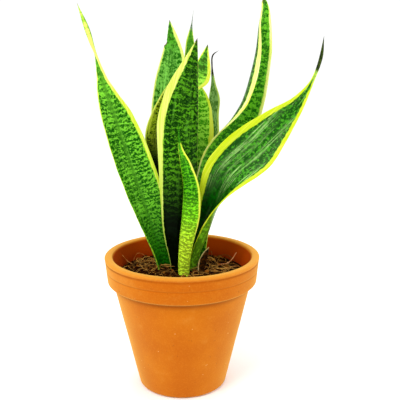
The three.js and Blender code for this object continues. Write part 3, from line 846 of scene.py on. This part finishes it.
def make_pot(segments=176):
    outline = rounded(pot_profile(), radius=0.5 * MM, spacing=3.2 * MM)
    size = len(outline)
    points, faces = [], []
    for k in range(segments):
        turn = 2 * math.pi * k / segments
        for radius, height in outline:
            x = radius * math.cos(turn)
            y = radius * math.sin(turn)
            swell = sum(lift * bumpy(x, y, height, length * MM) for lift, length in POT_SWELLS)
            reach = radius + swell * MM
            points.append((POT_X + reach * math.cos(turn), POT_Y + reach * math.sin(turn), height))
        here = k * size
        ahead = (k + 1) % segments * size
        for i in range(size):
            after = (i + 1) % size
            faces.append((here + i, ahead + i, ahead + after, here + after))
    pot = add_piece("terracotta_pot", points, faces, terracotta("terracotta"), "terracotta", "pot")
    face_outwards(pot)

    pot.data.materials.append(terracotta("terracotta_inside", inside=True))
    for face in pot.data.polygons:
        away = Vector((face.center.x - POT_X, face.center.y - POT_Y))
        inward = face.normal.xy @ away < 0
        if inward and face.center.z > soil_low.z and away.length < POT_RIM - LIP_WIDTH:
            face.material_index = 1


# ------------------------------------------------------------------ soil

SOCKET_REACH = 2.6 * MM         # how far beside a socket its soil is looked for
SOIL_FOOT = ((6 * MM, 0.70), (0, 0.62))  # height over the soil's bottom, share of its radius


def soil_surface():
    """A function for the CAD soil's height, which closes the sockets that the leaves stand in."""
    mesh = welded("soil")
    tree = BVHTree.FromBMesh(mesh)
    mesh.free()
    above = soil_high.z + 0.01
    down = Vector((0, 0, -1))
    beside = ((0, 0), (SOCKET_REACH, 0), (-SOCKET_REACH, 0), (0, SOCKET_REACH), (0, -SOCKET_REACH))

    def height(x, y):
        best = 0
        for dx, dy in beside:
            hit = tree.ray_cast(Vector((x + dx, y + dy, above)), down)[0]
            if hit:
                best = max(best, hit.z)
        return best
    return height


def soil_material(name, tones, size):
    """Dark crumbly soil, with painted shade in its holes. The piece's tone attribute brings in the
    third tone.
    """
    s = Shader(name)
    spot = s.object_place()
    dark, brown, light, hole_shade = (shown(*tone) for tone in tones)
    colour = s.mix(s.step(s.noise(spot, size, 4.0, 0.65), 0.35, 0.65), dark, brown)
    colour = s.mix(s.times(s.attribute("tone")[0], 0.8), colour, light)
    # Dark spots for holes between the clumps: their darkness is painted shade.
    shaded_holes = s.step(s.noise(spot, size * 2.7, 3.0), 0.6, 0.75)
    s.colour(s.mix(s.times(shaded_holes, 0.5), colour, hole_shade))
    s.roughness(s.add(0.8, s.times(s.noise(spot, size * 2, 2.0), 0.2)))
    s.bump(s.noise(spot, size * 1.5, 4.0, 0.7), 0.5 * MM, 0.8)
    s.set(Specular_IOR_Level=0.01, Specular_Tint=(1, 0.7, 0.3, 1))
    return s.material


def make_soil(surface, rings=92, segments=220):
    points, faces, tone = [], [], []

    def put(x, y, z, value):
        points.append((POT_X + x, POT_Y + y, z))
        tone.append((value, 0, 0))

    def rough_height(x, y):
        calm = min(1, (SOIL_RADIUS - math.hypot(x, y)) / (2.5 * MM))
        clumps = 1.3 * abs(bumpy(x, y, 0, 4.2 * MM)) + 0.7 * abs(bumpy(x, y, 3, 1.7 * MM)) - 0.5
        return surface(POT_X + x, POT_Y + y) + clumps * max(0.25, calm) * MM

    # The outermost ring keeps off the wall, and takes its height from a little further in.
    put(0, 0, rough_height(0, 0), 0.3)
    for i in range(1, rings + 1):
        outermost = i == rings
        inset = 0.999 if outermost else 1
        read_at = 0.985 if outermost else 1
        for k in range(segments):
            reach = SOIL_RADIUS * i / rings
            turn = 2 * math.pi * (k + 0.5 * (i % 2)) / segments
            x = reach * math.cos(turn)
            y = reach * math.sin(turn)
            put(x * inset, y * inset, rough_height(x * read_at, y * read_at),
                abs(bumpy(x, y, 9, 3 * MM)))
    for level, share in SOIL_FOOT:
        for k in range(segments):
            reach = SOIL_RADIUS * share
            turn = 2 * math.pi * (k + 0.5 * (rings % 2)) / segments
            put(reach * math.cos(turn), reach * math.sin(turn), soil_low.z + level, 0.2)
    put(0, 0, soil_low.z, 0.2)

    rows = rings + len(SOIL_FOOT)
    bottom = 1 + (rows - 1) * segments
    for k in range(segments):
        faces.append((0, 1 + k, 1 + (k + 1) % segments))
    faces += [(a, d, c, b) for a, b, c, d in between_rings(1, rows, segments)]
    for k in range(segments):
        faces.append((len(points) - 1, bottom + (k + 1) % segments, bottom + k))
    tones = ((14, 5, 0), (46, 22, 0), (70, 40, 6), (6, 2, 0))
    soil = add_piece("potting_soil", points, faces, soil_material("potting_soil", tones, 500.0),
                     "soil", "soil", attributes={"tone": tone})
    face_outwards(soil)


def soil_spot(reach):
    """A random place on the soil, spread evenly out to this share of its radius."""
    turn = rng.uniform(0, 2 * math.pi)
    out = SOIL_RADIUS * reach * math.sqrt(rng.uniform(0.02, 1))
    return POT_X + out * math.cos(turn), POT_Y + out * math.sin(turn)


def make_crumbs(surface, count=760):
    ball = bmesh.new()
    bmesh.ops.create_icosphere(ball, subdivisions=2, radius=1)
    shell = [v.co.copy() for v in ball.verts]
    triangles = [tuple(v.index for v in f.verts) for f in ball.faces]
    ball.free()
    points, faces, tone = [], [], []
    for n in range(count):
        x, y = soil_spot(0.97)
        size = rng.uniform(0.35, 1.0) * rng.uniform(0.6, 1.7) * MM
        stretch = Vector((rng.uniform(0.7, 1.6), rng.uniform(0.6, 1.1), rng.uniform(0.45, 0.9)))
        turn = rng.uniform(0, 2 * math.pi)
        tilt = rng.uniform(-0.5, 0.5)
        shade = rng.random() ** 2
        z = surface(x, y) + size * 0.3 + rng.uniform(0, 0.6) * MM
        first = len(points)
        for co in shell:
            lump = 1 + 0.35 * noise.noise(co * 1.7 + Vector((n * 3.1, 0, 0)))
            p = co * stretch * size * lump
            px = p.x * math.cos(turn) - p.y * math.sin(turn)
            py = p.x * math.sin(turn) + p.y * math.cos(turn)
            points.append((x + px, y + py, z + p.z + tilt * px))
            tone.append((shade, 0, 0))
        faces += [tuple(first + i for i in triangle) for triangle in triangles]
    tones = ((20, 8, 0), (66, 32, 0), (196, 122, 44), (8, 3, 0))
    add_piece("soil_crumbs", points, faces, soil_material("soil_crumbs", tones, 900.0), "soil",
              attributes={"tone": tone})


def tube(path, radii, sides, points, faces):
    """Adds a closed tapering tube along path to points and faces."""
    first = len(points)
    for i, centre in enumerate(path):
        ahead = path[min(i + 1, len(path) - 1)] - path[max(i - 1, 0)]
        upright = abs(ahead.normalized().z) >= 0.95
        side = ahead.cross(Vector((1, 0, 0)) if upright else Vector((0, 0, 1))).normalized()
        up = side.cross(ahead).normalized()
        for k in range(sides):
            turn = 2 * math.pi * k / sides
            points.append(centre + (side * math.cos(turn) + up * math.sin(turn)) * radii[i])
    faces += between_rings(first, len(path), sides)
    faces.append(tuple(first + k for k in reversed(range(sides))))
    faces.append(tuple(first + (len(path) - 1) * sides + k for k in range(sides)))


def fibre_path(surface, steps):
    """A random curved path over the soil, which stays inside the pot and arches up a little,
    and the fibre's radius."""
    limit = SOIL_RADIUS - 0.6 * MM
    x, y = soil_spot(0.93)
    heading = rng.uniform(0, 2 * math.pi)
    bend = rng.uniform(-0.36, 0.36)
    length = rng.uniform(6, 22) * MM
    arch = rng.uniform(0.1, 1.0) ** 2 * rng.uniform(1.0, 7.0) * MM
    radius = rng.uniform(0.10, 0.27) * MM
    path = []
    for i in range(steps + 1):
        heading += bend + rng.uniform(-0.16, 0.16)
        x += math.cos(heading) * length / steps
        y += math.sin(heading) * length / steps
        out = math.hypot(x - POT_X, y - POT_Y)
        if out > limit:
            x = POT_X + (x - POT_X) * limit / out
            y = POT_Y + (y - POT_Y) * limit / out
        lift = 0.5 * MM + arch * math.sin(math.pi * i / steps)
        path.append(Vector((x, y, surface(x, y) + lift)))
    return path, radius


def make_fibres(surface, count=340, steps=14, sides=5):
    points, faces, tone = [], [], []
    for _ in range(count):
        path, radius = fibre_path(surface, steps)
        radii = [radius * (1 - 0.6 * abs(2 * i / steps - 1) ** 3) for i in range(steps + 1)]
        before = len(points)
        tube(path, radii, sides, points, faces)
        shade = rng.random() ** 1.7
        tone += [(shade, 0, 0)] * (len(points) - before)
    s = Shader("coir_fibre")
    colour = s.mix(s.attribute("tone")[0], shown(38, 16, 0), shown(255, 190, 92))
    s.colour(s.mix(s.times(s.noise(s.object_place(), 700.0), 0.3), colour, shown(70, 32, 0)))
    s.set(Roughness=0.8, Specular_IOR_Level=0.03)
    add_piece("coir_fibres", points, faces, s.material, "root", attributes={"tone": tone})


# ------------------------------------------------------------------ loose pieces and rhizome

FLAT_ENOUGH = 0.7               # radians that two joined triangles may lie apart
SQUARE_ENOUGH = 1.2             # radians that the joined face's corners may be off square


def smooth_copy(node, name, material, rounding=2, thinner=0.0):
    """A subdivided copy of a CAD node, which stands for it, drawn in by thinner metres."""
    mesh = welded(node)
    mesh.normal_update()
    for vertex, normal in [(v, v.normal.copy()) for v in mesh.verts]:
        vertex.co -= normal * thinner
    bmesh.ops.join_triangles(mesh, faces=mesh.faces, angle_face_threshold=FLAT_ENOUGH,
                             angle_shape_threshold=SQUARE_ENOUGH)
    data = bpy.data.meshes.new(name)
    mesh.to_mesh(data)
    mesh.free()
    link_piece(name, data, material, [node], rounding)


def fibre_material(name, tones, size=400.0):
    s = Shader(name)
    spot = s.object_place()
    share = s.step(s.noise(spot, size, 3.0), 0.35, 0.65)
    s.colour(s.mix(share, shown(*tones[0]), shown(*tones[1])))
    s.roughness(s.add(0.6, s.times(s.noise(spot, size * 2, 2.0), 0.25)))
    s.bump(s.noise(spot, size * 2.5, 3.0), 0.1 * MM, 0.6)
    s.set(Specular_IOR_Level=0.03)
    return s.material


def make_loose_pieces():
    tan = fibre_material("pale_root", ((160, 98, 40), (206, 146, 78)))
    pink = fibre_material("pink_root", ((186, 110, 56), (232, 168, 118)))
    skin = fibre_material("rhizome_skin", ((196, 158, 92), (226, 196, 138)), 120.0)
    bark = fibre_material("bark", ((66, 34, 14), (112, 70, 36)), 300.0)
    smooth_copy("root_left_straight", "straight_root", tan, thinner=0.25 * MM)
    smooth_copy("root_left_loop", "looped_root", tan, thinner=0.25 * MM)
    smooth_copy("root_right_arched", "arched_root", pink, thinner=0.15 * MM)
    smooth_copy("root_right_low", "low_root", tan, thinner=0.2 * MM)
    smooth_copy("rhizome", "leaf_rhizome", skin, rounding=1)
    smooth_copy("bark_chip", "bark_shard", bark)
    sheath = leaf_material("dry_sheath", light=shown(78, 44, 12), dark=shown(22, 10, 0),
                           streaks=0.3, yellow=(206, 180, 110), cream=(222, 204, 150),
                           dry_from=1.2, gloss=0.6, seed=12.0)
    make_leaf("dry_sheath", sheath, "dry_matter", ((0, 0.3), (1, 0.3)), ((0, 0.9), (1, 0.6)),
              rows=60, columns=15, wave=0.9)


# ------------------------------------------------------------------ whole scene

make_camera()
make_studio()
make_pot()
surface = soil_surface()
make_soil(surface)
make_crumbs(surface)
make_fibres(surface)
make_leaves()
make_loose_pieces()
